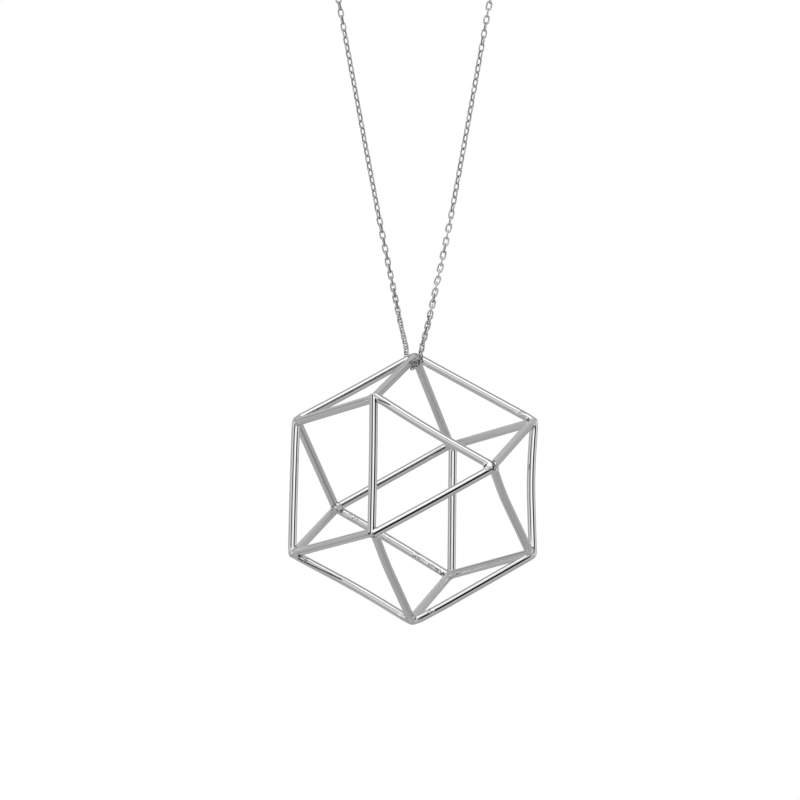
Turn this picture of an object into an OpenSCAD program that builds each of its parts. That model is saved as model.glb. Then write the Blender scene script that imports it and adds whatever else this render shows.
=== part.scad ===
// Wire cage pendant on a fine cable chain, held at the nape of the neck.
// Millimetres. X is the wearer's left, -Y points away from the chest, Z is up.
// The origin is the middle of the clasp, at the nape.

/* [Cage] */
// Length of each straight wire, from corner to corner
edge = 20; // [18:1:24]
// Thickness of the round wire
wire_d = 1.25; // [1:0.1:1.4]
// How much thicker than the wire a soldered corner is
solder_extra = 0.15; // [0.1:0.05:0.4]

/* [Chain] */
// Width of the cable chain, which is the width of one link
chain_w = 0.95; // [0.8:0.05:1]
// Depth of the cage's middle in front of the nape
hang_y = 106; // [100:2:116]
// Drop of the cage's middle below the nape
hang_z = 336; // [320:4:380]
// How far the loop leans to the wearer's right at the strands' upper ends
lean = 2.5; // [0:0.5:4]

/* [Clasp] */
// Outer diameter of the plain clasp ring
clasp_d = 5; // [4.5:0.1:6]
// Thickness of the clasp ring
clasp_wire = 0.8; // [0.6:0.1:1]
// Outer diameter of the small eye that holds a chain end
eye_d = 1.5; // [1.4:0.1:1.8]
// Thickness of the eye's wire
eye_wire = 0.4; // [0.3:0.05:0.45]

/* [Hidden] */

// The cage is a cuboctahedron with one corner up. Six of its corners make a flat
// hexagon that faces forward, and three in front and three behind make triangles.
face_r = edge / sqrt(3);
face_y = edge * sqrt(2 / 3);
corner_d = wire_d + solder_extra;
cage_mid = [0, -hang_y, -hang_z];
top_corner = cage_mid + [0, 0, edge];
hexagon = [for (i = [0:5]) cage_mid + around(edge, 0, 30 + 60 * i)];
front = [for (i = [0:2]) cage_mid + around(face_r, -face_y, 120 * i)];
back = [for (i = [0:2]) cage_mid + around(face_r, face_y, 60 + 120 * i)];

// Each row is one wire's two ends
wires = concat(
    [for (i = [0:5]) [hexagon[i], hexagon[(i + 1) % 6]]],
    [for (i = [0:2]) [front[i], front[(i + 1) % 3]]],
    [for (i = [0:2]) [back[i], back[(i + 1) % 3]]],
    [for (i = [0:2], side = [0, 5]) [front[i], hexagon[(2 * i + side) % 6]]],
    [for (i = [0:2], side = [0, 1]) [back[i], hexagon[(2 * i + side) % 6]]]
);

// The chain passes under the top corner from the square opening at the back left
// to the one at the front right. Columns: distance along that way, height over the corner.
under_way = [1 / sqrt(3), -sqrt(2 / 3), 0];
under_half = [
    [0.6, -1.6],
    [1.2, -1.5],
    [1.7, -1.2],
    [2.0, -0.7],
    [2.1, 0.0],
    [2.2, 0.8],
    [2.3, 1.6]
];
under_low = [[0, -1.6]];

// Above the corner a strand spreads a little faster than higher up. Columns: distance
// from the middle, height over the corner.
strand_half = [
    [2.1, 5],
    [3.1, 10],
    [5.1, 20]
];

// The wearer's left half of the loop, from the strand's upper end round the neck.
// Columns: X, Y and Z from the nape.
neck_half = [
    [44, -88, -74],
    [47, -85, -60],
    [49.5, -80, -48],
    [51.5, -73, -38],
    [53, -64, -29],
    [53, -54, -22],
    [51.5, -43, -16],
    [48, -32, -11],
    [42.5, -22, -7],
    [35, -13.5, -4],
    [26, -7, -2],
    [16, -3, -1],
    [9, -1, 0]
];

ring_sides = 8;
tube_r = chain_w / 2 / cos(180 / ring_sides);
link_gap = 0.15;
clasp_mid_r = (clasp_d - clasp_wire) / 2;
eye_mid_r = (eye_d - eye_wire) / 2;
eye_x = clasp_d / 2 - eye_wire / 2 + eye_mid_r;
chain_end = [eye_x + eye_d / 2 + link_gap, 0, 0];

half_route = concat(
    [for (row = under_half) under(row, 1)],
    [for (row = strand_half) strand(row, 1)],
    [for (p = neck_half) leaned(p)],
    [chain_end]
);
other_half = concat(
    [for (row = under_half) under(row, -1)],
    [for (row = strand_half) strand(row, -1)],
    [for (p = neck_half) leaned(flip_x(p))],
    [flip_x(chain_end)]
);
lowest = [for (row = under_low) top_corner + [0, 0, row[1]]];
route = concat(backwards(other_half), lowest, half_route);
last = len(route) - 1;

wire_fn = 48;

function around(r, y, angle) = [r * cos(angle), y, r * sin(angle)];
function flip_x(p) = [-p[0], p[1], p[2]];
function leaned(p) = p - [lean * p[2] / neck_half[0][2], 0, 0];
function under(row, side) = top_corner + side * row[0] * under_way + [0, 0, row[1]];
function backwards(list) = [for (i = [len(list) - 1:-1:0]) list[i]];
function unit(v) = v / norm(v);

// A point of a strand: its Y lies on the straight line from the bend's end to the neck
function strand(row, side) =
    let (
        foot = under(under_half[len(under_half) - 1], side),
        head = neck_half[0],
        z = top_corner[2] + row[1],
        share = (z - foot[2]) / (head[2] - foot[2])
    )
    [cage_mid[0] + side * row[0], foot[1] + share * (head[1] - foot[1]), z];

function step(i) = unit(route[min(i + 1, last)] - route[min(i, last - 1)]);
function heading(i) = unit(step(max(i - 1, 0)) + step(i));
function carried(side, way) = unit(side - (side * way) * way);

// Each ring keeps the side direction of the ring before, so the tube doesn't twist
sides = [
    for (i = 0, s = carried([0, 0, 1], heading(0)); i <= last; i = i + 1, s = carried(s, heading(min(i, last)))) s
];

function ring(i) = [
    for (k = [0:ring_sides - 1])
        let (angle = 360 * k / ring_sides)
        route[i] + tube_r * (cos(angle) * sides[i] + sin(angle) * cross(heading(i), sides[i]))
];

module wire(from, to) {
    run = to - from;
    length = norm(run);
    translate(from)
        rotate([0, acos(run[2] / length), atan2(run[1], run[0])])
        cylinder(d = wire_d, h = length, $fn = wire_fn);
}

// Twenty-four equal wires and the soldered corners, all one solid
module pendant_frame() {
    color("silver") union() {
        for (ends = wires)
            wire(ends[0], ends[1]);
        for (corner = concat(hexagon, front, back))
            translate(corner)
            sphere(d = corner_d, $fn = wire_fn);
    }
}

// The outer form of the linked chain, as one tube swept along its route
module chain() {
    points = [for (i = [0:last]) each ring(i)];
    walls = [
        for (i = [0:last - 1], k = [0:ring_sides - 1])
            let (a = i * ring_sides + k, b = i * ring_sides + (k + 1) % ring_sides)
            each [[a, a + ring_sides, b], [b, a + ring_sides, b + ring_sides]]
    ];
    first_cap = [[for (k = [0:ring_sides - 1]) k]];
    last_cap = [[for (k = [ring_sides - 1:-1:0]) last * ring_sides + k]];
    color("gainsboro") polyhedron(points, concat(walls, first_cap, last_cap), convexity = 6);
}

module torus(mid_r, wire, at_x) {
    translate([at_x, 0, 0])
        rotate([90, 0, 0])
        rotate_extrude($fn = wire_fn)
        translate([mid_r, 0])
        circle(d = wire, $fn = wire_fn);
}

// A plain closed ring with a soldered eye on each side for the chain's ends
module clasp() {
    color("silver") union() {
        torus(clasp_mid_r, clasp_wire, 0);
        torus(eye_mid_r, eye_wire, eye_x);
        torus(eye_mid_r, eye_wire, -eye_x);
    }
}

pendant_frame();
chain();
clasp();
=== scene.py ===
# %% [markdown]
# # A wire cage pendant on a fine cable chain
# The real piece is a small cage of round polished wires, soldered where four of them
# meet, that hangs on a long cable chain passed under its top corner.
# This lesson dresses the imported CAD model: the camera comes first, then the metal, the
# chain, the cage and the clasp, and last the studio that the metal reflects.

import math

import bmesh
import bpy
import numpy as np
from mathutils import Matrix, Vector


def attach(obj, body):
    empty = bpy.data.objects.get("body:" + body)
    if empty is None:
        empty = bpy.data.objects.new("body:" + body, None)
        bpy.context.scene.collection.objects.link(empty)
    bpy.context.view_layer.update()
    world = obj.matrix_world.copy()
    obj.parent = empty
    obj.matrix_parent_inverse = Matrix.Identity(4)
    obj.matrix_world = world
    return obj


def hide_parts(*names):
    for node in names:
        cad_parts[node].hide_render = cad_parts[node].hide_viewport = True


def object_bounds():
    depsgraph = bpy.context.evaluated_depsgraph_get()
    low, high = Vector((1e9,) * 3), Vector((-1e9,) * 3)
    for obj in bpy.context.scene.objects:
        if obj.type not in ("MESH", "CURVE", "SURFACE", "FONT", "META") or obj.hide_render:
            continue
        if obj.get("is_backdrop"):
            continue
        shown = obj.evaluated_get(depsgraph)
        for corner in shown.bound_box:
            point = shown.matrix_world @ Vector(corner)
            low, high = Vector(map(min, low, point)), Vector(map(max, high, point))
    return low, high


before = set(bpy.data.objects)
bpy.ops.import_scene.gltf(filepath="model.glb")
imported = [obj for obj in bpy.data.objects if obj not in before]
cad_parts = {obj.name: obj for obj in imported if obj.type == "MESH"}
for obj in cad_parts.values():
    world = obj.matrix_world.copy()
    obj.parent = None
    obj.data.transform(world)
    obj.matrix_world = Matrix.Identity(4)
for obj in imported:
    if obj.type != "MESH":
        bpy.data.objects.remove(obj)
cad_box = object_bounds()
MM = 0.001
print("CAD box, mm:", [round(x / MM, 1) for corner in cad_box for x in corner])

# %% [markdown]
# ## Camera
# The pendant was photographed close to square on, from a little below its middle. Two facts
# give the place of a camera: the way the cage's far wires shrink gives the distance, and
# the gap between the front and the back corners gives the angle. The lens is long, so
# the frame shows only the cage and the two strands above it.

# %% Camera
CAMERA_AT_MM = (1.48, -955.77, -507.96)
CAMERA_TURN_DEG = (102.288, -0.565, 0.110)
LENS_MM, SENSOR_MM = 264.8, 36.0

lens = bpy.data.cameras.new("photo_lens")
lens.lens = LENS_MM
lens.sensor_width = SENSOR_MM
lens.clip_start, lens.clip_end = 0.01, 20.0
camera = bpy.data.objects.new("photo_camera", lens)
camera.location = [x * MM for x in CAMERA_AT_MM]
camera.rotation_euler = [math.radians(a) for a in CAMERA_TURN_DEG]
bpy.context.scene.collection.objects.link(camera)
bpy.context.scene.camera = camera
print("half the field of view, degrees:", round(math.degrees(math.atan(SENSOR_MM / 2 / LENS_MM)), 2))

# %% [markdown]
# ## Small helpers
# Colours are written as the sRGB hex values that a screen shows, and Blender wants linear
# ones. Node trees get long, so one function adds a node, sets its options and joins
# or fills its inputs.

# %% Helpers


def linear(hex_colour):
    """An sRGB hex colour as the linear RGBA that Blender's sockets take."""
    values = [int(hex_colour[i : i + 2], 16) / 255 for i in (1, 3, 5)]
    return [v / 12.92 if v <= 0.04045 else ((v + 0.055) / 1.055) ** 2.4 for v in values] + [1.0]


def add(tree, kind, inputs=None, **options):
    """Adds a node. inputs maps a socket's name or number to a value or to the socket that feeds it."""
    node = tree.nodes.new(kind)
    for option, value in options.items():
        setattr(node, option, value)
    for key, value in (inputs or {}).items():
        if isinstance(value, bpy.types.NodeSocket):
            tree.links.new(value, node.inputs[key])
        else:
            node.inputs[key].default_value = value
    return node


# %% [markdown]
# ## Polished silver
# The cage and the chain are sterling silver with a thin white rhodium plate, which
# keeps them from going yellow. All three parts are polished on a wheel, which leaves a
# mirror with faint waves, and handling dulls it in patches. A mirror shows its surface
# only through what it bends, so the waves are a very low bump in real millimetres, and
# not a colour.

# %% Plated silver
WIRE_PLATE, LINK_PLATE = "#E6E6E6", "#D2D2D2"
PATCH_MM = 4


def plated_silver(name, plate, roughness, wave_mm, wave_height_mm):
    """Rhodium-plated silver, metallic with default IOR, and the surface of its polishing waves."""
    material = bpy.data.materials.new(name)
    material.use_nodes = True
    tree = material.node_tree
    shader = tree.nodes["Principled BSDF"]
    shader.inputs["Base Color"].default_value = linear(plate)
    shader.inputs["Metallic"].default_value = 1.0
    at = add(tree, "ShaderNodeTexCoord").outputs["Object"]
    waves = add(tree, "ShaderNodeTexNoise", {"Vector": at, "Scale": 1 / (wave_mm * MM), "Detail": 0.0})
    waved = add(
        tree,
        "ShaderNodeBump",
        {"Height": waves.outputs["Fac"], "Strength": 1.0, "Distance": wave_height_mm * MM},
    )
    tree.links.new(waved.outputs["Normal"], shader.inputs["Normal"])
    haze = add(tree, "ShaderNodeTexNoise", {"Vector": at, "Scale": 1 / (PATCH_MM * MM), "Detail": 3.0})
    dull = add(
        tree,
        "ShaderNodeMapRange",
        {"Value": haze.outputs["Fac"], "To Min": roughness * 0.7, "To Max": roughness * 1.3},
    )
    tree.links.new(dull.outputs["Result"], shader.inputs["Roughness"])
    return material


cage_metal = plated_silver("rhodium_plated_wire", WIRE_PLATE, 0.04, 3.0, 0.01)
link_metal = plated_silver("rhodium_plated_links", LINK_PLATE, 0.08, 0.3, 0.002)
clasp_metal = plated_silver("rhodium_plated_clasp", WIRE_PLATE, 0.09, 0.6, 0.004)
print("metals:", cage_metal.name, link_metal.name, clasp_metal.name)

# %% [markdown]
# The cage's wire was pulled through a draw plate, which leaves fine lines along it. They
# could be stretched noise, but the 24 wires run in many directions. So the mesh will carry
# which way each point lies from its wire's middle: that changes round a wire and not
# along it, and a noise read there is a bundle of lines. The wheel takes most of them off
# the outer wires and leaves them on the V-shaped ones inside. A few worn spots near the
# joints also have pits, where the solder boiled.

# %% Draw lines and pits on the cage's wire
LINE_HEIGHT_MM, PIT_DEPTH_MM = 0.2, 0.1
# Drawn at 0.3 mm the pits show. Real ones are half as wide.
PIT_SPACING_MM = 0.5
tree = cage_metal.node_tree
shader = tree.nodes["Principled BSDF"]
waves, dullness = [shader.inputs[name].links[0].from_socket for name in ("Normal", "Roughness")]
round_wire = add(tree, "ShaderNodeAttribute", attribute_name="round_wire").outputs["Vector"]
lines_left, worn, in_seam, solder = [
    add(tree, "ShaderNodeAttribute", attribute_name=name).outputs["Fac"]
    for name in ("lines_left", "wear", "seam", "solder")
]
draw_lines = add(
    tree, "ShaderNodeTexNoise", {"Vector": round_wire, "Scale": 2.2, "Detail": 1.0}
).outputs["Fac"]
ridges = add(tree, "ShaderNodeMath", {0: draw_lines, 1: lines_left}, operation="MULTIPLY")
drawn = add(
    tree,
    "ShaderNodeBump",
    {"Height": ridges.outputs[0], "Strength": 1.0, "Distance": LINE_HEIGHT_MM * MM, "Normal": waves},
)
at = add(tree, "ShaderNodeTexCoord").outputs["Object"]
pits = add(tree, "ShaderNodeTexVoronoi", {"Vector": at, "Scale": 1 / (PIT_SPACING_MM * MM)})
between_pits = add(
    tree,
    "ShaderNodeMapRange",
    {"Value": pits.outputs["Distance"], "From Min": 0.15, "From Max": 0.5},
    interpolation_type="SMOOTHSTEP",
)
unpitted = add(tree, "ShaderNodeMath", {0: between_pits.outputs[0], 1: worn}, operation="MULTIPLY")
pitted = add(
    tree,
    "ShaderNodeBump",
    {
        "Height": unpitted.outputs[0],
        "Strength": 1.0,
        "Distance": PIT_DEPTH_MM * MM,
        "Normal": drawn.outputs["Normal"],
    },
)
tree.links.new(pitted.outputs["Normal"], shader.inputs["Normal"])
print("bumps on the wire: waves, draw lines, pits")

# %% [markdown]
# Black polishing paste stays in the pits and in the deepest draw lines, where the wheel can't reach.
# The seams between soldered wires are painted black, partly as paste and partly as painted shade, the dark
# that a crease between mirror wires shows. Solder is softer and rougher than the wire, and whiter than its
# rhodium plate. All are painted by what the mesh carries, so a stain lies just where its hollow is.

# %% Paste, painted shade and solder on the cage's wire
in_pits = add(tree, "ShaderNodeMath", {0: worn, 1: unpitted.outputs[0]}, operation="SUBTRACT")
in_lines = add(
    tree,
    "ShaderNodeMapRange",
    {"Value": draw_lines, "From Min": 0.46, "From Max": 0.3, "To Max": 0.5},
)
stains = add(
    tree,
    "ShaderNodeMath",
    {0: in_lines.outputs[0], 1: lines_left, 2: in_pits.outputs[0]},
    operation="MULTIPLY_ADD",
)
# The mesh is coarser than a thin black line, so the line gets its crisp edge here
crisp = add(
    tree,
    "ShaderNodeMapRange",
    {"Value": in_seam, "From Min": 0.2, "From Max": 0.7},
    interpolation_type="SMOOTHSTEP",
)
black = add(tree, "ShaderNodeMath", {0: stains.outputs[0], 1: crisp.outputs[0]}, operation="ADD")
soldered = add(
    tree,
    "ShaderNodeMix",
    {0: solder, 6: linear(WIRE_PLATE), 7: linear("#F4F4F4")},
    data_type="RGBA",
)
# Turns the plate near black: paste in the pits and lines, and paste and painted shade along the seams and
# strokes
stained_and_shaded = add(
    tree,
    "ShaderNodeMix",
    {0: black.outputs[0], 6: soldered.outputs[2], 7: linear("#1C1C1C")},
    data_type="RGBA",
)
tree.links.new(stained_and_shaded.outputs[2], shader.inputs["Base Color"])
rough = add(tree, "ShaderNodeMath", {0: solder, 1: 0.3, 2: dullness}, operation="MULTIPLY_ADD")
tree.links.new(rough.outputs[0], shader.inputs["Roughness"])
print("nodes in the cage's metal:", len(tree.nodes))

# %% [markdown]
# The links get painted shade. Each link turns dark grey on the side that faces its own middle, and most in
# the bunch of links that is squeezed under the cage's corner, where the links shade each other. The links
# will carry how far each point looks away from the link's own middle, and how close it is to that bunch.

# %% Painted shade on the links
tree = link_metal.node_tree
squeezed, outward = [
    add(tree, "ShaderNodeAttribute", attribute_name=name).outputs["Fac"] for name in ("squeezed", "outward")
]
open_to_light = add(tree, "ShaderNodeMath", {0: squeezed, 1: -0.45, 2: outward}, operation="MULTIPLY_ADD")
dark = add(
    tree,
    "ShaderNodeMapRange",
    {"Value": open_to_light.outputs[0], "From Min": 0.05, "From Max": -0.7},
    interpolation_type="SMOOTHSTEP",
)
# Painted shade: dark grey inside each link and in the squeezed bunch, where the links shade each other
painted_link_shade = add(
    tree,
    "ShaderNodeMix",
    {0: dark.outputs["Result"], 6: linear(LINK_PLATE), 7: linear("#242424")},
    data_type="RGBA",
)
tree.links.new(painted_link_shade.outputs[2], tree.nodes["Principled BSDF"].inputs["Base Color"])
print("nodes in the links' metal:", len(tree.nodes))

# %% [markdown]
# ## The chain's route
# The CAD model carries the chain as a plain tube. Its route is repeated here, point for
# point, so the links lie where the tube lies: round the neck, down both strands, and under
# the cage's top corner, in at the back left and out at the front right.

# %% Route of the chain, in millimetres
CAGE_MIDDLE = np.array([0.0, -106.0, -336.0])
EDGE = 20.0
TOP_CORNER = CAGE_MIDDLE + [0, 0, EDGE]
UNDER_WAY = np.array([1 / math.sqrt(3), -math.sqrt(2 / 3), 0])
LEAN = 2.5
UNDER_LOW = -1.6
# Columns: distance along the way under the corner, height over the corner
UNDER_HALF = [(0.6, -1.6), (1.2, -1.5), (1.7, -1.2), (2.0, -0.7), (2.1, 0.0), (2.2, 0.8), (2.3, 1.6)]
# Columns: distance from the middle, height over the corner
STRAND_HALF = [(2.1, 5), (3.1, 10), (5.1, 20)]
# Columns: X, Y and Z from the nape. The last point is the chain's end, at the clasp's eye.
NECK_HALF = [
    (44, -88, -74), (47, -85, -60), (49.5, -80, -48), (51.5, -73, -38), (53, -64, -29),
    (53, -54, -22), (51.5, -43, -16), (48, -32, -11), (42.5, -22, -7), (35, -13.5, -4),
    (26, -7, -2), (16, -3, -1), (9, -1, 0), (3.75, 0, 0),
]


def half_route(side):
    """One half of the loop, from beside the lowest point up and round to the clasp."""
    under = [TOP_CORNER + side * d * UNDER_WAY + [0, 0, h] for d, h in UNDER_HALF]
    neck = [np.array([side * x - LEAN * z / NECK_HALF[0][2], y, z], float) for x, y, z in NECK_HALF]
    foot, head, strand = under[-1], neck[0], []
    for x, h in STRAND_HALF:
        z = TOP_CORNER[2] + h
        share = (z - foot[2]) / (head[2] - foot[2])
        strand.append(np.array([side * x, foot[1] + share * (head[1] - foot[1]), z]))
    return under + strand + neck


route = half_route(-1)[::-1] + [TOP_CORNER + [0, 0, UNDER_LOW]] + half_route(1)
print("route points:", len(route))

# %% [markdown]
# A chain doesn't turn at points, so a smooth curve is drawn through them. A Catmull-Rom
# curve passes through every point and needs no handles, and the centripetal kind doesn't
# overshoot where short steps meet long ones, as they do above the cage.

# %% Smooth line through the route


def smooth_line(points, step):
    """A centripetal Catmull-Rom curve through the points, sampled every step."""
    p = np.array([2 * points[0] - points[1], *points, 2 * points[-1] - points[-2]], float)
    pieces = []
    for a, b, c, d in zip(p, p[1:], p[2:], p[3:]):
        t1 = np.linalg.norm(b - a) ** 0.5
        t2 = t1 + np.linalg.norm(c - b) ** 0.5
        t3 = t2 + np.linalg.norm(d - c) ** 0.5
        t = np.linspace(t1, t2, max(3, int(np.linalg.norm(c - b) / step)), endpoint=False)[:, None]
        ab, bc = a + (b - a) * t / t1, b + (c - b) * (t - t1) / (t2 - t1)
        cd = c + (d - c) * (t - t2) / (t3 - t2)
        abc, bcd = ab + (bc - ab) * t / t2, bc + (cd - bc) * (t - t1) / (t3 - t1)
        pieces.append(abc + (bcd - abc) * (t - t1) / (t2 - t1))
    return np.vstack([*pieces, p[-2:-1]])


line = smooth_line(route, 0.1)
along = np.concatenate([[0], np.cumsum(np.linalg.norm(np.diff(line, axis=0), axis=1))])
# The small slope along X picks one of the points that are equally low
lowest = along[np.argmin(line[:, 2] + 0.001 * np.abs(line[:, 0]))]
print("length of the chain, mm:", round(along[-1], 1), "lowest point at", round(lowest, 1))

# %% [markdown]
# ## Where each link goes
# Each link of a cable chain is an oval ring that holds the next one turned a quarter round
# it. A taut chain has a link every inner link length, 1.15 mm here. Low above the
# cage the links sit closer together, slid a little into each other, as the
# photograph shows.

# %% Places of the links
LINK_LONG, LINK_WIDE, LINK_WIRE = 1.63, 0.94, 0.24


def pitch_at(distance):
    """Distance from one link to the next, by the distance from the chain's lowest point."""
    return np.interp(distance, [0, 9, 11.5, 16, 20.5, 40, 60], [0.84, 0.86, 0.91, 1.02, 1.09, 1.12, 1.14])


half_length = along[-1] / 2
steps = [0.0]
while steps[-1] < half_length:
    steps.append(steps[-1] + pitch_at(steps[-1]))
steps = np.array(steps)
# The spacing is closed up a hair so that the last link lies in the clasp's eye
steps *= half_length / steps[-1]
stations = np.clip(lowest + np.concatenate([-steps[:0:-1], steps]), 0, along[-1])


def line_at(distances):
    """The points of the smooth line at some distances from its start."""
    return np.array([np.interp(distances, along, line[:, i]) for i in range(3)]).T


def near_lowest(centre, reach):
    """1 for the links round a distance past the lowest one, falling to 0 within a few reaches."""
    return np.exp(-(((stations - lowest - centre) / reach) ** 2))


spots = line_at(stations)
# The real corner sits a little to the right of the middle, and the chain with it. In front,
# the strand's foot leans against the corner, and the lowest links hang clear of the solder.
spots[:, 0] += 0.14 * near_lowest(0, 20)
spots[:, 0] -= 0.35 * near_lowest(3, 1.6)
spots[:, 2] -= 0.17 * near_lowest(0, 1.6)
ways = line_at(stations + 0.3) - line_at(stations - 0.3)
ways /= np.linalg.norm(ways, axis=1)[:, None]
print("links:", len(spots))

# %% [markdown]
# The side that a link faces is carried from link to link without twist, outwards from
# the lowest one. Then come a few degrees of play and the twist of the strands, which the
# photograph shows: some stretches have their links face on and edge on, and others have
# both at 45 degrees.

# %% Sides of the links


def turn_at(signed):
    """How far the links are turned about the chain, in degrees. Below 0 is the wearer's right strand."""
    right = np.interp(-signed, [0, 7, 11, 23, 28, 50, 58], [0, -5, -35, -35, -5, -5, -35])
    left = np.interp(signed, [0, 7, 11, 23, 28, 50, 58], [0, -5, -35, -35, 10, 10, -35])
    return np.where(signed < 0, right, left)


PLAY_DEG, PLAY_SLOPE = 4, 0.035
CLASP_LINKS = 40
chance = np.random.default_rng(4)
middle = len(steps) - 1
sides = np.zeros_like(ways)
square_to_way = np.array([math.sqrt(2 / 3), 1 / math.sqrt(3), 0])
for order in (range(middle, len(ways)), range(middle, -1, -1)):
    side = square_to_way
    for i in order:
        side = side - (side @ ways[i]) * ways[i]
        side /= np.linalg.norm(side)
        sides[i] = side
turns = np.radians(turn_at(stations - lowest) + chance.normal(0, PLAY_DEG, len(ways)))
turns += np.where((np.arange(len(ways)) - middle) % 2, math.pi / 2, 0)
thirds = np.cross(ways, sides)
# The end links lie flat in the upright eyes, and the chain's twist leads up to that
for end, nearby in ((0, range(CLASP_LINKS)), (-1, range(-1, -CLASP_LINKS - 1, -1))):
    flat = math.atan2(thirds[end][2], sides[end][2])
    twist = (flat - turns[end] + math.pi / 2) % math.pi - math.pi / 2
    for k, i in enumerate(nearby):
        turns[i] += twist * (1 - k / CLASP_LINKS)
faces = np.cos(turns)[:, None] * sides + np.sin(turns)[:, None] * thirds
ways[1:-1] += chance.normal(0, PLAY_SLOPE, ways[1:-1].shape)
print("turn of the lowest link, degrees:", round(math.degrees(turns[middle]), 1))

# %% [markdown]
# ## Links by Geometry Nodes
# About seven hundred equal links are the plain case for instances: the tree draws one link
# as a rounded rectangle swept by a small circle, sets it on every point with its length along
# the chain and its face to its own side, and ends as one real mesh. Drawing each link
# by hand, or an array along a curve, would not let the pitch and the twist change. The
# wires of the cage will need a tree too, so what both have in common comes first.

# %% What both trees share


def new_tree(name, inputs, output):
    """A tree with named inputs and one named output, and the sockets that its inputs come in by."""
    tree = bpy.data.node_groups.new(name, "GeometryNodeTree")
    for label, kind in inputs.items():
        tree.interface.new_socket(name=label, in_out="INPUT", socket_type="NodeSocket" + kind)
    tree.interface.new_socket(name=output, in_out="OUTPUT", socket_type="NodeSocketGeometry")
    return tree, add(tree, "NodeGroupInput").outputs


def ended(tree, shape, metal):
    """Makes a tree's shape one real, smooth mesh with its metal, and hands it out."""
    real = add(tree, "GeometryNodeRealizeInstances", {"Geometry": shape})
    smooth = add(tree, "GeometryNodeSetShadeSmooth", {"Geometry": real.outputs[0]})
    plated = add(tree, "GeometryNodeSetMaterial", {"Geometry": smooth.outputs[0], "Material": metal})
    add(tree, "NodeGroupOutput", {0: plated.outputs[0]})
    return tree


def tube_along(tree, curve, sides, radius):
    """A round tube along a curve."""
    profile = add(tree, "GeometryNodeCurvePrimitiveCircle", {"Resolution": sides, "Radius": radius})
    tube = add(tree, "GeometryNodeCurveToMesh", {"Curve": curve, "Profile Curve": profile.outputs[0]})
    return tube.outputs[0]


def baked(name, start, tree, values):
    """Runs a tree on a mesh and returns the result as a plain mesh object."""
    source = bpy.data.objects.new(name + "_start", start)
    bpy.context.scene.collection.objects.link(source)
    modifier = source.modifiers.new("tree", "NODES")
    modifier.node_group = tree
    for item in tree.interface.items_tree:
        if item.in_out == "INPUT" and item.name in values:
            modifier[item.identifier] = values[item.name]
    shown = source.evaluated_get(bpy.context.evaluated_depsgraph_get())
    mesh = bpy.data.meshes.new_from_object(shown)
    source.modifiers.clear()
    bpy.data.objects.remove(source)
    mesh.name = name
    piece = bpy.data.objects.new(name, mesh)
    bpy.context.scene.collection.objects.link(piece)
    return piece


# %% [markdown]
# One link is an oblong with rounded corners. Its wire is thin, so six sides are enough.

# %% Link tree
LINK_SIDES = 6


def link_tree():
    """Sets one link on every point, turned by the way and the face that the point carries."""
    sizes = dict.fromkeys(("Link length", "Link width", "Wire thickness"), "Float")
    tree, given = new_tree(
        "cable_chain_links", {"Link places": "Geometry", **sizes, "Metal": "Material"}, "Chain"
    )
    wire = given["Wire thickness"]
    long_mid, wide_mid = [
        add(tree, "ShaderNodeMath", {0: given[name], 1: wire}, operation="SUBTRACT").outputs[0]
        for name in ("Link length", "Link width")
    ]
    oblong = add(
        tree,
        "GeometryNodeCurvePrimitiveQuadrilateral",
        {"Width": wide_mid, "Height": long_mid},
        mode="RECTANGLE",
    )
    # Just under half the width, so that the two ends are round and keep a short side between
    corner_r = add(tree, "ShaderNodeMath", {0: wide_mid, 1: 0.499}, operation="MULTIPLY")
    oval = add(
        tree,
        "GeometryNodeFilletCurve",
        {"Curve": oblong.outputs[0], "Radius": corner_r.outputs[0], "Count": 3},
        mode="POLY",
    )
    wire_r = add(tree, "ShaderNodeMath", {0: wire, 1: 0.5}, operation="MULTIPLY")
    link = tube_along(tree, oval.outputs[0], LINK_SIDES, wire_r.outputs[0])
    # How far each point looks away from the link's own middle
    at = add(tree, "GeometryNodeInputPosition").outputs[0]
    away = add(tree, "ShaderNodeVectorMath", {0: at}, operation="NORMALIZE")
    normal = add(tree, "GeometryNodeInputNormal").outputs[0]
    facing = add(tree, "ShaderNodeVectorMath", {0: away.outputs[0], 1: normal}, operation="DOT_PRODUCT")
    marked = add(
        tree,
        "GeometryNodeStoreNamedAttribute",
        {"Geometry": link, "Name": "outward", "Value": facing.outputs["Value"]},
        data_type="FLOAT",
        domain="POINT",
    )
    way, face = [
        add(tree, "GeometryNodeInputNamedAttribute", {"Name": name}, data_type="FLOAT_VECTOR").outputs[0]
        for name in ("way", "face")
    ]
    turned = add(
        tree,
        "FunctionNodeAxesToRotation",
        {"Primary Axis": way, "Secondary Axis": face},
        primary_axis="Y",
        secondary_axis="Z",
    )
    set_out = add(
        tree,
        "GeometryNodeInstanceOnPoints",
        {"Points": given["Link places"], "Instance": marked.outputs[0], "Rotation": turned.outputs[0]},
    )
    return ended(tree, set_out.outputs[0], given["Metal"])


# %% [markdown]
# The tree runs on a mesh of bare points, one for each link, that carry what it asks for.

# %% Make the chain


def carry(mesh, name, values):
    """Has a mesh carry a number or a vector for each of its points."""
    kind, key = ("FLOAT", "value") if values.ndim == 1 else ("FLOAT_VECTOR", "vector")
    mesh.attributes.new(name, kind, "POINT").data.foreach_set(key, values.ravel())


link_points = bpy.data.meshes.new("link_places")
link_points.from_pydata((spots * MM).tolist(), [], [])
carry(link_points, "way", ways)
carry(link_points, "face", faces)
carry(link_points, "squeezed", near_lowest(0.8, 3))
link_sizes = {
    "Link length": LINK_LONG * MM,
    "Link width": LINK_WIDE * MM,
    "Wire thickness": LINK_WIRE * MM,
    "Metal": link_metal,
}
chain = baked("chain_links", link_points, link_tree(), link_sizes)
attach(chain, "necklace")
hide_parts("chain")
print("chain:", len(spots), "links,", len(chain.data.polygons) * 2, "triangles")

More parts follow.
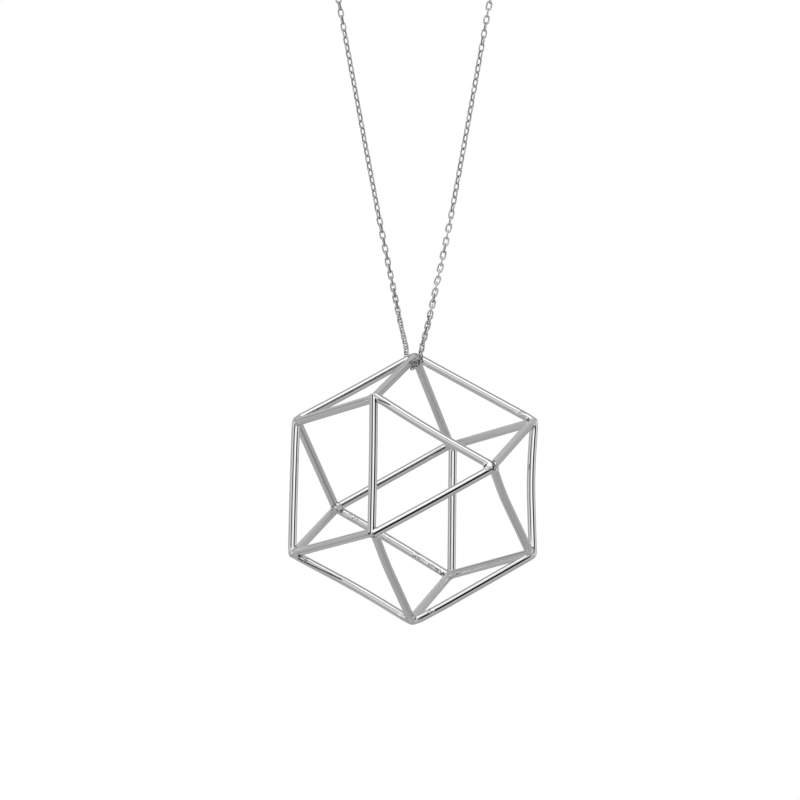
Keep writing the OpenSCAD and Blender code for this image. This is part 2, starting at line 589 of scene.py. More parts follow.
# %% [markdown]
# ## The cage's net
# The cage is a cuboctahedron: 12 corners, 24 equal edges, and the same distance from the
# middle to every corner as from corner to corner. It is made of a front and a back
# triangle of bent wire, six V-shaped wires between them, and a hexagon round the middle.
# Hand soldering leaves every corner a few tenths of a millimetre off, and that is
# kept, because a perfect cage looks cast.

# %% Corners of the cage
FACE_R, FACE_Y = EDGE / math.sqrt(3), EDGE * math.sqrt(2 / 3)
# Top, upper left, lower left, bottom, lower right and upper right
HEXAGON = ("T", "UL", "LL", "BT", "LR", "UR")
# Columns: -1 in front, 0 on the hexagon or 1 behind, its angle, how far it is off across and up
NET = {
    "B": (-1, 0, 0.3, -0.26), "A": (-1, 120, 0.03, 0.27), "C": (-1, 240, -0.05, -0.38),
    "E": (1, 60, 0.19, 0.15), "D": (1, 180, 0.04, -0.02), "F": (1, 300, 0.14, -0.39),
    "UR": (0, 30, 0.55, 0.11), "T": (0, 90, 0.12, -0.17), "UL": (0, 150, 0.02, -0.1),
    "LL": (0, 210, -0.29, -0.09), "BT": (0, 270, 0.24, -0.16), "LR": (0, 330, 0.44, 0.06),
}


def true_corner(name):
    """Where a perfect cage has this corner."""
    depth, degrees = NET[name][:2]
    radius, angle = FACE_R if depth else EDGE, math.radians(degrees)
    return CAGE_MIDDLE + [radius * math.cos(angle), depth * FACE_Y, radius * math.sin(angle)]


corners = {name: true_corner(name) + [x, 0, z] for name, (_, _, x, z) in NET.items()}
print("corners:", len(corners))

# %% [markdown]
# The V-shaped wires run beside the triangles and the hexagon and not into them, since two
# wires can't lie in one place: each turns just inside a triangle's corner, and ends
# just inside two of the hexagon's.

# %% Turning points and ends of the V-shaped wires
VEES = ["UL A T", "UR B LR", "LL C BT", "UL D LL", "T E UR", "BT F LR"]
# How far a V turns from the true corner of a triangle
vee_off = {
    "A": (-0.1, 0.3, -0.24), "B": (0.06, 0.5, 0.02), "C": (0.3, 0.3, 0.11),
    "D": (0.1, -0.4, -0.18), "E": (-0.16, -0.3, -0.38), "F": (-0.12, -0.35, -0.13),
}
vee_apex = {name: true_corner(name) + off for name, off in vee_off.items()}
# How far a V ends from the hexagon's own corner. One end has its own row.
end_off = {
    "T": (-0.08, 0, -0.28), "UL": (0.21, 0, -0.2), "LL": (0.3, 0, 0.05), "BT": (-0.22, 0, 0.34),
    "LR": (-0.4, 0, 0.22), "UR": (-0.37, 0, -0.2), "T E": (0.08, 0, -0.28),
}


def vee_places(names):
    """Both ends of a V-shaped wire, and its turning point between them."""
    a, b, c = names.split()
    return [corners[a] + end_off.get(f"{a} {b}", end_off[a]), vee_apex[b], corners[c] + end_off[c]]


print("first V-shaped wire ends at, mm:", vee_places(VEES[0])[0].round(1))

# %% [markdown]
# ## Bent wires
# A wire never turns at a point: pliers leave a bend with a radius. The triangles are
# bent sharply, the hexagon and the V-shaped wires a little wider. Few wires are straight
# in between: eleven have a slight bow. Each wire is kept as a centre line of short
# straight steps, which is all that the next cells need to know.

# %% Centre lines of the bent wires
WIRE_R = 0.625
# Radius of each bend
bends = dict.fromkeys("ABCDEF", 0.25) | {
    "B": 0.5, "F": 0.55, "T": 2.0, "UL": 1.6, "LL": 1.8, "BT": 2.2, "LR": 1.0, "UR": 1.6,
}
VEE_BEND = 0.6
# Columns: how far a wire bows across and up, where along it, and over what length
bows = {
    "LR UR": (-0.46, 0.0, 0.58, 4.0), "LL BT": (0.15, 0.26, 0.56, 4.0), "B LR": (-0.3, -0.13, 0.3, 2.6),
    "C BT": (-0.21, -0.09, 0.36, 2.6), "C A": (0.1, 0.0, 0.55, 6.0), "A B": (-0.13, -0.22, 0.47, 5.0),
    "B C": (0.03, -0.06, 0.5, 6.0), "UL LL": (-0.05, 0.0, 0.42, 4.0), "F D": (0.06, 0.11, 0.6, 5.0),
    "T UL": (0.07, -0.14, 0.52, 6.0), "BT LR": (0.05, -0.11, 0.24, 2.5),
}


def unit(v):
    """The same way, one long."""
    return v / np.linalg.norm(v)


def rounded(before, p, after, radius=None, reach=None, steps=9):
    """An arc at p in place of the sharp turn, of a radius or beginning at a distance from p."""
    u, v = unit(before - p), unit(after - p)
    half = math.acos(np.clip(u @ v, -1, 1)) / 2
    radius = reach * math.tan(half) if radius is None else radius
    hub = p + unit(u + v) * radius / math.sin(half)
    a, b = p + u * radius / math.tan(half) - hub, p + v * radius / math.tan(half) - hub
    turn = math.pi - 2 * half
    return [
        hub + (math.sin((1 - k) * turn) * a + math.sin(k * turn) * b) / math.sin(turn)
        for k in np.linspace(0, 1, steps)
    ]


def bow_between(a, b, p, q):
    """If a wire bows between p and q: its turning point, no radius, and the bend's half length."""
    if f"{b} {a}" in bows:
        a, b, p, q = b, a, q, p
    if f"{a} {b}" not in bows:
        return []
    x, z, share, reach = bows[f"{a} {b}"]
    return [(p + (q - p) * share + [x, 0, z], None, reach)]


def bent(names, places, radii, closed):
    """The centre line through named places, with every bend rounded."""
    turns = []
    for i, name in enumerate(names):
        turns.append((places[i], radii[i], None))
        if closed or i + 1 < len(names):
            k = (i + 1) % len(names)
            turns += bow_between(name, names[k], places[i], places[k])
    centre_line = []
    for i, (p, radius, reach) in enumerate(turns):
        if not closed and i in (0, len(turns) - 1):
            centre_line.append(p)
        else:
            centre_line += rounded(turns[i - 1][0], p, turns[(i + 1) % len(turns)][0], radius, reach)
    return np.array(centre_line + centre_line[:1] * closed)


LOOPS = ("ABC", "DEF", HEXAGON)
wires = [bent(loop, [corners[n] for n in loop], [bends[n] for n in loop], True) for loop in LOOPS]
wires += [bent(names.split(), vee_places(names), [0, VEE_BEND, 0], False) for names in VEES]
print("bent wires:", len(wires))

# %% [markdown]
# The joints need the same wires once more as 24 spans from corner to corner, and
# for each end of a span the corner it meets, its foot there and the way that it leaves.

# %% Spans and their ends
spans = [(a, b, corners[a], corners[b]) for loop in LOOPS for a, b in zip(loop, loop[1:] + loop[:1])]
for names in VEES:
    (a, b, c), (foot_a, apex, foot_c) = names.split(), vee_places(names)
    spans += [(b, a, apex, foot_a), (b, c, apex, foot_c)]
ends = []
for a, b, p, q in spans:
    bow = bow_between(a, b, p, q)
    mid = bow[0][0] if bow else (p + q) / 2
    ends += [(a, p, unit(mid - p)), (b, q, unit(mid - q))]
print("spans:", len(spans), "of them bowed:", sum(bool(bow_between(*span)) for span in spans))

# %% [markdown]
# ## How solder joins them
# Where wires touch, molten solder runs into the gap and leaves a small hollow fillet. A
# boolean union would leave a knife-sharp seam there. Instead the metal is described by
# its distance: a point is on the surface where a soft minimum of its distances to all the
# centre lines is zero. The softness is the size of the fillet.

# %% Distance to the soldered metal
FILLET = 0.08
TIP_R = 1.2


def off_wire(off):
    """Distance to a wire's surface, and the way outwards, from the way off its centre line."""
    far = np.linalg.norm(off, axis=1)
    return far - WIRE_R, off / np.maximum(far, 1e-9)[:, None]


def swept(points, starts, runs):
    """Distance to a round wire along short straight steps, and the way outwards."""
    rel = points[:, None] - starts
    t = np.clip((rel * runs).sum(2) / (runs**2).sum(1), 0, 1)
    off = rel - t[:, :, None] * runs
    best = np.linalg.norm(off, axis=2).argmin(1)
    return off_wire(off[np.arange(len(points)), best])


def ball(points, centre, radii, lean=0.0):
    """Distance to a ball or, with three radii, to an egg whose front leans back, and the way outwards."""
    squeeze = np.diag(np.ones(3) / radii)
    squeeze[2, 1] = -lean * squeeze[1, 1]
    off = (points - centre) @ squeeze
    slope = off @ squeeze.T
    far, steep = (np.maximum(np.linalg.norm(v, axis=1), 1e-6) for v in (off, slope))
    return far * (far - 1) / steep, slope / steep[:, None]


def mitred(points, corner, way_a, way_b, tip):
    """Two wires filed to a mitre: each ends at the plane between them, and a ball rounds the tip off."""
    rel = points - corner
    way = np.where((rel @ (way_a - way_b) > 0)[:, None], way_a, way_b)
    gap, out = off_wire(rel - (rel * way).sum(1)[:, None] * way)
    tip_gap, tip_out = ball(points, corner + tip, TIP_R)
    cut = (rel @ (way_a + way_b) < 0) & (tip_gap > gap)
    return np.where(cut, tip_gap, gap), np.where(cut[:, None], tip_out, out)


def metal(points, parts):
    """Distance to the soldered surface of all parts, and the way outwards."""
    gaps, ways_out = (np.array(x) for x in zip(*[form(points, *sizes) for form, *sizes in parts]))
    least = gaps.min(0)
    weight = np.exp(-(gaps - least) / FILLET)
    total = weight.sum(0)
    return least - FILLET * np.log(total), (weight[:, :, None] * ways_out).sum(0) / total[:, None]


# %% [markdown]
# The corners are not alike. Two of the front triangle's are filed to a sharp mitre, the
# third is filled with solder, and one at the back has a lump of it in front. Between the
# wires of every other corner, and behind the mitres, lies a bead that is about as thick as
# a wire or thinner.

# %% Parts of each joint
NEAR = 5
# How far the middle of the ball that rounds a mitre's tip sits off the corner
MITRED = {"A": (0, 0, -0.98), "C": (0, 0, 1.15)}
# Columns: corner, radius of the bead, and how far it sits off the corner, across, back and up
BEADS = [
    ("A", 0.45, 0.0, 0.45, -0.3), ("B", (0.85, 0.64, 0.6), -0.75, -0.1, 0.1), ("B", 0.43, 0.22, 1.0, 0.0),
    ("C", 0.45, 0.0, 0.45, 0.35), ("D", 0.66, 0.25, -1.55, -0.1), ("E", 0.5, 0.0, -0.5, 0.0),
    ("F", 0.42, -0.45, -1.1, -0.3), ("T", 0.62, 0.05, 0.0, -0.35), ("UL", 0.62, 0.15, 0.0, -0.1),
    ("LL", 0.68, 0.15, -0.1, 0.05), ("BT", 0.68, 0.05, -0.1, 0.3), ("LR", 0.62, -0.15, 0.0, 0.1),
    ("UR", 0.66, -0.15, -0.1, -0.1),
]


def beads_at(name):
    """Place, radius and lean of each bead at a corner. The egg's front looks up a little, to the light."""
    at = [(corners[name] + off, radii) for here, radii, *off in BEADS if here == name]
    return [(spot, radii, 0.35 if np.size(radii) > 1 else 0.0) for spot, radii in at]


def joint_parts(name):
    """All that meets at a corner: the steps of each wire near it, a mitre or not, and the beads."""
    spot, parts = corners[name], []
    for centre_line in wires:
        a, run = centre_line[:-1], np.diff(centre_line, axis=0)
        nearest = a + run * np.clip(((spot - a) * run).sum(1) / (run**2).sum(1), 0, 1)[:, None]
        near = np.linalg.norm(nearest - spot, axis=1) < NEAR
        if near.any():
            parts.append((swept, a[near], run[near]))
    if name in MITRED:
        parts[0] = (mitred, spot, *[way for here, _, way in ends if here == name][:2], MITRED[name])
    return parts + [(ball, *bead) for bead in beads_at(name)]


print("parts at corner A:", [form.__name__ for form, *_ in joint_parts("A")])

# %% [markdown]
# ## A joint's surface
# The soft distance is sampled on a fine grid round each corner, and one vertex is set in
# every grid cell that the surface passes through, joined to its neighbours by quads
# (surface nets). Each vertex then slides onto the true surface along its outward way,
# evens out its spacing, and slides back, so the mirror shows no grid.

# %% Surface nets


def crossings_of(values):
    """For each axis: where neighbouring samples differ in sign, and the place of the zero between them."""
    inside = values < 0
    index = np.stack(np.meshgrid(*[np.arange(n) for n in values.shape], indexing="ij"), -1).astype(float)
    for axis in range(3):
        first = tuple(slice(0, -1) if k == axis else slice(None) for k in range(3))
        second = tuple(slice(1, None) if k == axis else slice(None) for k in range(3))
        cross = inside[first] != inside[second]
        share = np.where(cross, values[first] / np.where(cross, values[first] - values[second], 1), 0)
        yield axis, cross, index[first] + share[..., None] * np.eye(3)[axis], inside[first]


def nets(values, low, grid):
    """Vertices and quads of the zero surface in a block of sampled values."""
    total = np.zeros(tuple(n - 1 for n in values.shape) + (3,))
    count = np.zeros(total.shape[:3])
    crossings = list(crossings_of(values))
    for axis, cross, place, _ in crossings:
        u, v = [k for k in range(3) if k != axis]
        for du, dv in ((0, 0), (0, 1), (1, 0), (1, 1)):
            cut = [slice(None)] * 3
            cut[u], cut[v] = slice(du, du + total.shape[u]), slice(dv, dv + total.shape[v])
            total += place[tuple(cut)] * cross[tuple(cut)][..., None]
            count += cross[tuple(cut)]
    used = count > 0
    number = np.full(count.shape, -1)
    number[used] = np.arange(used.sum())
    vertices = low + grid * total[used] / count[used][:, None]
    quads = []
    for axis, cross, _, starts_inside in crossings:
        u, v = (axis + 1) % 3, (axis + 2) % 3
        cells = np.argwhere(cross)
        within = [(cells[:, k] > 0) & (cells[:, k] < count.shape[k]) for k in (u, v)]
        cells = cells[within[0] & within[1]]
        ring = []
        for du, dv in ((1, 1), (0, 1), (0, 0), (1, 0)):
            cell = cells.copy()
            cell[:, u] -= du
            cell[:, v] -= dv
            ring.append(number[tuple(cell.T)])
        ring = np.array(ring).T
        flip = ~starts_inside[tuple(cells.T)]
        ring[flip] = ring[flip][:, ::-1]
        quads.append(ring)
    return vertices, np.vstack(quads)


# %% [markdown]
# The grid is fine enough for the fillets, and a joint ends beyond its beads.

# %% Surface of each joint
GRID = 0.12
# A joint ends this far from its corner, and the swept wire begins a gap further on
REACH, GAP = 2.0, 0.15


def joint_surface(name):
    """Vertices and quads of the soldered surface round a corner."""
    spot, parts = corners[name], joint_parts(name)
    half = math.ceil((REACH + 1) / GRID)
    samples = np.arange(-half, half + 1) * GRID
    block = np.stack(np.meshgrid(samples, samples, samples, indexing="ij"), -1) + spot
    values = metal(block.reshape(-1, 3), parts)[0].reshape(block.shape[:3])
    points, quads = nets(values, spot - half * GRID, GRID)
    edges = np.vstack([quads[:, [0, 1]], quads[:, [1, 2]], quads[:, [2, 3]], quads[:, [3, 0]]])
    for settle in range(5):
        if settle:
            mean, count = np.zeros_like(points), np.zeros(len(points))
            for a, b in (edges.T, edges.T[::-1]):
                np.add.at(mean, a, points[b])
                np.add.at(count, a, 1)
            points = points + 0.6 * (mean / count[:, None] - points)
        for _ in range(2):
            gap, out = metal(points, parts)
            points = points - (gap / np.maximum((out**2).sum(1), 0.3))[:, None] * out
    return points, quads


surfaces = {name: joint_surface(name) for name in corners}
print("vertices in the joint at corner A:", len(surfaces["A"][0]))

# %% [markdown]
# ## The straight wires between the joints
# Between two joints a wire is plain: a circle swept along a line. That is one rule for all
# 24, so a small tree sweeps them. The steps are finer near the joints, where the wires
# carry the marks of the work.

# %% Centre lines of the straight wires
ROUND = 40
SHARES = np.append(np.linspace(0, 0.36, 16), [0.5, 0.65, 0.8])[:, None]
net_points, net_edges = [], []
for a, b, p, q in spans:
    bow = bow_between(a, b, p, q)
    mid = bow[0][0] if bow else (p + q) / 2
    centre = rounded(p, mid, q, reach=bow[0][2], steps=13) if bow else [mid]
    first, last = p + unit(mid - p) * (REACH + GAP), q + unit(mid - q) * (REACH + GAP)
    back = (last + SHARES * (centre[-1] - last))[::-1]
    centre = np.vstack([first + SHARES * (centre[0] - first), centre, back])
    base = len(net_points)
    net_points += list(centre)
    net_edges += [(base + i, base + i + 1) for i in range(len(centre) - 1)]
print("straight wires:", len(spans), "points:", len(net_points))


# %% [markdown]
# The tree is short: it turns the lines into curves and runs a round tube along each.

# %% Tree that sweeps the wires


def wire_tree():
    """Sweeps a round wire along every line of a mesh."""
    tree, given = new_tree(
        "swept_wires", {"Centre lines": "Geometry", "Wire radius": "Float", "Metal": "Material"}, "Wires"
    )
    curves = add(tree, "GeometryNodeMeshToCurve", {"Mesh": given["Centre lines"]})
    tubes = tube_along(tree, curves.outputs[0], ROUND, given["Wire radius"])
    return ended(tree, tubes, given["Metal"])


wire_lines = bpy.data.meshes.new("wire_centre_lines")
wire_lines.from_pydata((np.array(net_points) * MM).tolist(), net_edges, [])
cage = baked("wire_cage", wire_lines, wire_tree(), {"Wire radius": WIRE_R * MM, "Metal": cage_metal})
print("swept wires:", len(cage.data.vertices), "vertices")

# %% [markdown]
# ## Closing the cage
# Every joint is cut square across its four wires, and the cut edge is stitched to the
# end of the swept wire with a band of triangles, so the whole cage is one closed skin.

# %% Cut the joints


def cut_joint(name):
    """A joint's surface as a mesh, cut square across each of its wires."""
    piece = bmesh.new()
    points, quads = surfaces[name]
    made = [piece.verts.new(p) for p in points]
    for quad in quads:
        piece.faces.new([made[i] for i in quad])
    for here, foot, way in ends:
        if here == name:
            bmesh.ops.bisect_plane(
                piece,
                geom=piece.verts[:] + piece.edges[:] + piece.faces[:],
                plane_co=foot + way * REACH,
                plane_no=way,
                clear_outer=True,
            )
    mesh = bpy.data.meshes.new("joint")
    piece.to_mesh(mesh)
    piece.free()
    return mesh


shape = bmesh.new()
shape.from_mesh(cage.data)
bmesh.ops.scale(shape, vec=(1 / MM,) * 3, verts=shape.verts)
for name in corners:
    joint_mesh = cut_joint(name)
    shape.from_mesh(joint_mesh)
    bpy.data.meshes.remove(joint_mesh)
print("open edges to stitch:", sum(e.is_boundary for e in shape.edges))

# %% [markdown]
# Both rings of a gap are sorted by their angle round the wire, and the band always takes
# the nearer of the two next vertices.

# %% Stitch joints and wires
rims = [v for v in shape.verts if v.is_boundary]
rim_at = np.array([v.co for v in rims])
# A rim's vertex lies this close to its wire's middle line, and this close to its own level
BESIDE, LEVEL = 0.9, 0.03
# No wire runs this way, so it gives each wire a side to count the angle from
ACROSS_ALL = (0.3, 0.5, 0.8)


def reached(ring, k, angle):
    """The angle of a ring's vertex, a turn on at the ring's end, and out of reach after it."""
    return angle[ring[k]] if k < len(ring) else angle[ring[0]] + 2 * math.pi + (k > len(ring)) * 9


def band(inner, outer, angle):
    """Joins two rings of rim vertices, each in order of angle, by a band of triangles."""
    i = j = 0
    while i < len(inner) or j < len(outer):
        near, far = rims[inner[i % len(inner)]], rims[outer[j % len(outer)]]
        if reached(inner, i + 1, angle) <= reached(outer, j + 1, angle):
            shape.faces.new((near, rims[inner[(i + 1) % len(inner)]], far))
            i += 1
        else:
            shape.faces.new((near, rims[outer[(j + 1) % len(outer)]], far))
            j += 1


for _, corner_foot, way in ends:
    foot = corner_foot + way * REACH
    rel = rim_at - foot
    depth = rel @ way
    radial = rel - depth[:, None] * way
    close = np.linalg.norm(radial, axis=1) < BESIDE
    side = unit(np.cross(way, ACROSS_ALL))
    angle = np.arctan2(radial @ np.cross(way, side), radial @ side)
    inner, outer = [
        sorted(np.where(close & (np.abs(depth - level) < LEVEL))[0], key=lambda i: angle[i])
        for level in (0, GAP)
    ]
    for i in inner:
        rims[i].co = foot + unit(radial[i]) * WIRE_R
    band(inner, outer, angle)
bmesh.ops.recalc_face_normals(shape, faces=shape.faces)
bmesh.ops.scale(shape, vec=(MM,) * 3, verts=shape.verts)
for face in shape.faces:
    face.smooth = True
open_edges = sum(e.is_boundary for e in shape.edges)
shape.to_mesh(cage.data)
shape.free()
print("cage:", len(cage.data.polygons), "faces, open edges", open_edges)

# %% [markdown]
# ## What the skin carries
# The metal reads a few values from the skin. First comes the draw lines' own: which way
# each point lies from its wire, with a step of its own for each wire so that no two
# have the same lines, and how much of the lines the wheel has left.

# %% Draw lines on the skin
LEFT_OUTSIDE, LEFT_INSIDE = 0.045, 1.0
skin = np.array([v.co for v in cage.data.vertices]) / MM
nearest, outwards, left_here = np.full(len(skin), np.inf), np.zeros_like(skin), np.zeros(len(skin))
wire_gaps = []
for number, centre_line in enumerate(wires):
    gap, out = swept(skin, centre_line[:-1], np.diff(centre_line, axis=0))
    wire_gaps.append(gap)
    closer = gap < nearest
    nearest[closer] = gap[closer]
    outwards[closer] = out[closer] + number * 9
    left_here[closer] = LEFT_OUTSIDE if number < len(LOOPS) else LEFT_INSIDE
carry(cage.data, "round_wire", outwards)
carry(cage.data, "lines_left", left_here)
print("skin with all its draw lines:", round(float((left_here == LEFT_INSIDE).mean()), 2))

# %% [markdown]
# A handful of spots are worn and pitted. They follow the photograph, so all lie near
# a joint and face forward.

# %% Worn spots
# Columns: corner, how far off it across and up, size of the spot in mm, how deep
WORN = [
    ("F", -1.4, 0.4, 0.4, 1.0), ("F", -2.3, 1.05, 0.35, 0.9), ("F", -3.7, 1.95, 0.4, 0.9),
    ("F", -5.2, 3.0, 0.4, 0.7), ("F", -10.4, 6.1, 1.0, 0.3), ("D", 0.8, -0.56, 0.3, 1.0),
    ("D", -0.26, 0.32, 0.25, 0.8), ("D", 2.1, -1.5, 0.6, 0.4), ("LL", 1.6, -0.9, 0.6, 0.7),
    ("UR", -2.1, 1.0, 0.7, 0.35), ("BT", -1.5, 0.8, 0.6, 0.5), ("BT", 2.6, 1.6, 0.4, 0.5),
]
# A worn spot's middle lies this far in front of its corner, which is towards -Y
FRONT = -0.5
wear = np.zeros(len(skin))
for name, x, z, size, deep in WORN:
    off = np.linalg.norm(skin - corners[name] - [x, FRONT, z], axis=1)
    wear = np.maximum(wear, deep * np.exp(-((off / size) ** 4)))
carry(cage.data, "wear", wear)
print("worn spots:", len(WORN))

# %% [markdown]
# The seams are painted black, partly as paste and partly as painted shade in the crease: a seam is where a
# point is equally near to two wires, or to a wire and the lump at D. How black each corner's seams are was
# judged from the photograph.

# %% Seams
SEAMS = {
    "A": 0.2, "B": 1.0, "C": 0.7, "D": 0.8, "E": 0.4, "F": 0.4,
    "T": 0.4, "UL": 0.2, "LL": 0.1, "BT": 0.2, "LR": 0.2, "UR": 0.2,
}
SEAM_WIDTH = 0.1
gaps = wire_gaps + [ball(skin, *bead)[0] for bead in beads_at("D")]
first, second = np.sort(gaps, axis=0)[:2]
own_corner = np.linalg.norm(skin[:, None] - np.array([corners[n] for n in SEAMS]), axis=2).argmin(1)
# Painted black along each seam: paste, and painted shade in the crease
seam = np.array(list(SEAMS.values()))[own_corner] * np.exp(-(((second - first) / SEAM_WIDTH) ** 2))
print("blackest seam:", round(float(seam.max()), 2))

# %% [markdown]
# Strokes beside the joints are painted black as well. Some are paste smeared by the wheel, and the line of
# strokes round B's tip is a painted shadow between the tip and the V-shaped wire behind it. Each is a short
# straight line on the side that faces forward, and a stroke with both ends in one place is a dot.

# %% Strokes of paste and painted shadow
# Columns: corner, both ends across and up, half width in mm, strength
PASTE_AND_SHADOW = [
    ("B", -1.55, -0.1, -1.2, 0.25, 0.12, 0.95), ("B", -0.2, -0.35, 0.3, -0.8, 0.12, 0.9),
    ("B", -0.65, -0.55, -0.2, -0.35, 0.12, 0.8), ("C", -0.45, 0.05, -0.15, 0.2, 0.13, 0.95),
    ("C", 0.4, 1.0, 0.4, 1.0, 0.12, 0.8), ("D", 0.85, 0.2, 0.85, 0.2, 0.13, 0.8),
    ("D", 0.75, -0.75, 0.95, -0.4, 0.12, 0.8), ("D", -0.15, 0.2, -0.15, 0.2, 0.12, 0.5),
    ("D", 0.15, -0.8, 0.15, -0.8, 0.15, 0.4), ("F", -1.35, 0.4, -1.15, 0.55, 0.11, 0.85),
    ("F", -2.35, 1.3, -2.1, 1.1, 0.13, 0.7), ("F", -3.0, 1.7, -2.7, 1.5, 0.12, 0.5),
    ("UR", -1.1, 0.1, -0.8, 0.3, 0.1, 0.85), ("UR", -2.85, 1.6, -1.25, 0.55, 0.09, 0.45),
    ("UR", -0.15, -0.95, 0.2, -1.0, 0.1, 0.7), ("LL", 0.45, 1.0, 0.6, 0.9, 0.12, 0.7),
    ("LL", 1.0, -0.5, 1.3, -0.7, 0.12, 0.8), ("LL", 1.7, -1.0, 2.6, -1.55, 0.08, 0.45),
    ("LL", 0.95, -0.8, 1.6, -1.2, 0.11, 0.8), ("LL", 1.8, -1.3, 2.05, -1.5, 0.1, 0.7),
    ("LL", 2.2, -1.5, 7.2, -3.9, 0.1, 0.9), ("LR", -0.7, -0.6, -0.5, -0.45, 0.12, 0.7),
    ("UL", -0.1, -0.75, 0.0, -0.65, 0.12, 0.7), ("UL", 0.3, -0.95, 0.3, -0.95, 0.12, 0.6),
    ("UL", 0.5, -0.65, 1.5, -0.45, 0.08, 0.45), ("B", -0.9, 1.0, -0.3, 0.65, 0.09, 0.6),
    ("B", -0.3, 0.65, -0.05, 0.3, 0.11, 0.9), ("B", -0.05, 0.3, -0.05, 0.0, 0.11, 0.9),
    ("B", -0.05, 0.0, -0.2, -0.35, 0.11, 0.9), ("A", 0.7, -0.75, 2.35, -1.55, 0.1, 0.85),
    ("A", 0.35, -0.9, 0.4, -1.1, 0.11, 0.8),
]
# How far in front of its corner a stroke can lie
STROKE_DEPTH = 2.3
# Each stroke paints the skin near black: paste, and round B's tip a painted shadow
for name, x1, z1, x2, z2, half_width, strength in PASTE_AND_SHADOW:
    rel, run = skin - corners[name], np.array([x2 - x1, z2 - z1])
    flat = rel[:, [0, 2]] - (x1, z1)
    t = np.clip(flat @ run / max(run @ run, 1e-9), 0, 1)
    off = np.linalg.norm(flat - t[:, None] * run, axis=1)
    in_front = (rel[:, 1] < 0) & (rel[:, 1] > -STROKE_DEPTH)
    seam = np.maximum(seam, strength * in_front * np.exp(-((off / half_width) ** 2)))
carry(cage.data, "seam", seam)
print("strokes:", len(PASTE_AND_SHADOW))

# %% [markdown]
# Last, how bare the solder is. At the hexagon's corners it has spread over the wires, and
# at B and D it stays a lump. At the other corners it is hidden or plated over.

# %% Bare solder
BARE = {"T": 0.3, "UL": 1.0, "LL": 1.0, "BT": 0.7, "LR": 1.0, "UR": 1.0, "B": 1.0, "D": 1.0}
SPREAD, LUMP_EDGE = 1.3, 0.12
bare_solder = np.zeros(len(skin))
for name, strength in BARE.items():
    for spot, radii, lean in beads_at(name):
        if name in HEXAGON:
            there = np.exp(-((np.linalg.norm(skin - spot, axis=1) / SPREAD) ** 4))
        else:
            there = np.exp(-((ball(skin, spot, radii, lean)[0] / LUMP_EDGE) ** 2))
        bare_solder = np.maximum(bare_solder, strength * there)
carry(cage.data, "solder", bare_solder)
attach(cage, "pendant")
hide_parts("pendant_frame")
print("skin of bare solder:", round(float((bare_solder > 0.5).mean()), 2))

# %% [markdown]
# ## Clasp
# The clasp hides behind the neck in the photograph, so the CAD model has one plain ring
# with two eyes. Its shape is right as it is, and it only needs its metal.

# %% Clasp
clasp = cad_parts["clasp"]
clasp.data.materials.clear()
clasp.data.materials.append(clasp_metal)
for face in clasp.data.polygons:
    face.use_smooth = True
print("clasp:", len(clasp.data.polygons), "faces")

# %% [markdown]
# ## The studio
# A mirror shows only its surroundings, so the studio is half of the look. The wires of the
# cage say what stood round it: a very large soft light round the lens, which makes the
# white bands, black below the lens and at both sides of the light, which makes the black
# lines, and grey walls with paler and darker parts. All are soft discs drawn on the
# world, which costs no noise.

# %% World
WALLS = 0.51
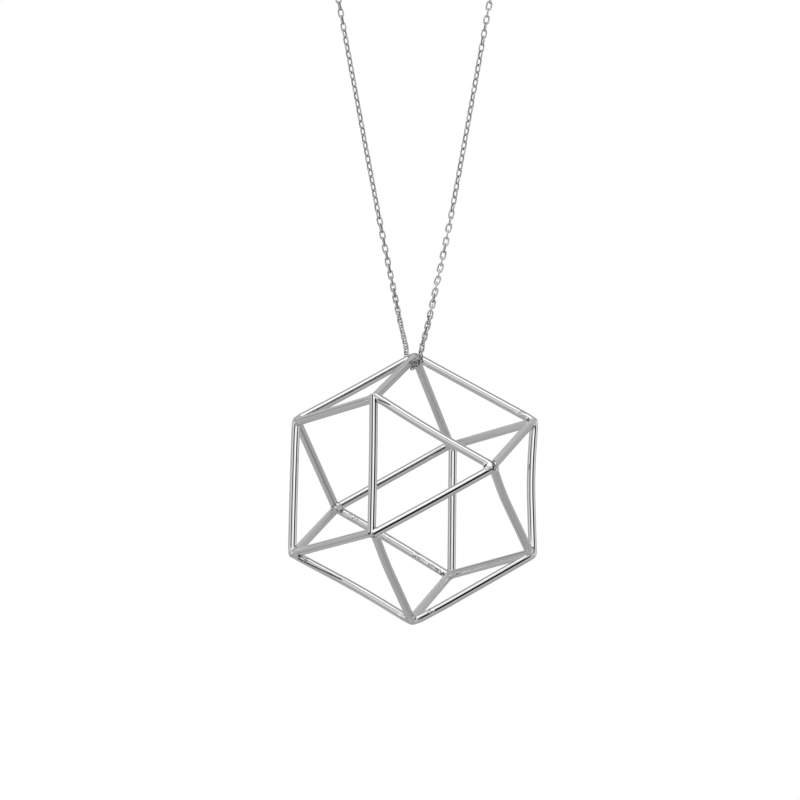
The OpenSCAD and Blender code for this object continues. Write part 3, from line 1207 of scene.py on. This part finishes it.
# Columns: across and up (degrees, seen from the object towards the lens), radius, softness,
# brightness. Each disc is laid over those before it.
DISCS = [
    (-32, 70, 47, 9, 0.33),
    (-10, 12, 56, 11, 1.45),
    (-35, 12, 21, 6, 0.06),
    (48, 11, 19, 3, 0.02),
    (50, 36, 12, 4, 0.1),
    (1, -19, 29, 4, 0.0),
    (-17, -9, 17, 9, 0.88),
    (145, -34, 44, 14, 0.41),
    (192, 46, 30, 12, 0.59),
    (0, 21, 8, 4, 0.54),
    (-75, -61, 32, 10, 0.46),
    (92, -3, 21, 8, 0.82),
    (-4, -49, 24, 8, 0.43),
]
world = bpy.data.worlds.new("soft_studio")
bpy.context.scene.world = world
world.use_nodes = True
tree = world.node_tree
tree.nodes.clear()
direction = add(tree, "ShaderNodeTexCoord").outputs["Generated"]
level = WALLS
for across, up, radius, softness, brightness in DISCS:
    a, e = math.radians(across), math.radians(up)
    towards = (math.sin(a) * math.cos(e), -math.cos(a) * math.cos(e), math.sin(e))
    facing = add(tree, "ShaderNodeVectorMath", {0: direction, 1: towards}, operation="DOT_PRODUCT")
    rim, core = (math.cos(math.radians(r)) for r in (radius + softness, max(radius - softness, 0)))
    disc = add(
        tree,
        "ShaderNodeMapRange",
        {"Value": facing.outputs["Value"], "From Min": rim, "From Max": core},
        interpolation_type="SMOOTHSTEP",
    ).outputs["Result"]
    level = add(tree, "ShaderNodeMix", {0: disc, 2: level, 3: brightness}, data_type="FLOAT").outputs[0]
# The camera itself sees plain white behind the piece, as in the photograph
seen = add(tree, "ShaderNodeLightPath").outputs["Is Camera Ray"]
shown = add(tree, "ShaderNodeMix", {0: seen, 2: level, 3: 1.0}, data_type="FLOAT")
background = add(tree, "ShaderNodeBackground", {"Color": shown.outputs[0]})
add(tree, "ShaderNodeOutputWorld", {"Surface": background.outputs[0]})
bpy.context.scene.view_settings.view_transform = "Standard"
print("discs in the studio:", len(DISCS))

# %% [markdown]
# A plain pale floor stands well below the pendant, out of the camera's view, and only shows
# when the piece is looked at from above.

# %% Floor
bpy.ops.mesh.primitive_circle_add(vertices=96, radius=0.45, fill_type="NGON", location=(0, -0.05, -0.6))
floor = bpy.context.object
floor.name = "studio_floor"
paper = bpy.data.materials.new("pale_paper")
paper.use_nodes = True
paper_inputs = paper.node_tree.nodes["Principled BSDF"].inputs
paper_inputs["Base Color"].default_value = linear("#F4F4F2")
paper_inputs["Roughness"].default_value = 0.8
# The studio is dim on purpose, so the paper gets a little light of its own to stay pale
paper_inputs["Emission Color"].default_value = linear("#F4F4F2")
paper_inputs["Emission Strength"].default_value = 0.4
floor.data.materials.append(paper)
# The mirror sees the studio's walls instead, which keeps its reflections clean
floor.visible_glossy = False
floor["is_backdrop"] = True
print("floor at", floor.location.z, "m")

# %% [markdown]
# Last, the boxes of the CAD model and of the dressed one are written down side by side.

# %% Sizes and the end
look_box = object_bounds()
for title, box in (("CAD ", cad_box), ("look", look_box)):
    print(title, "box, mm:", [round(x / MM, 2) for corner in box for x in corner])
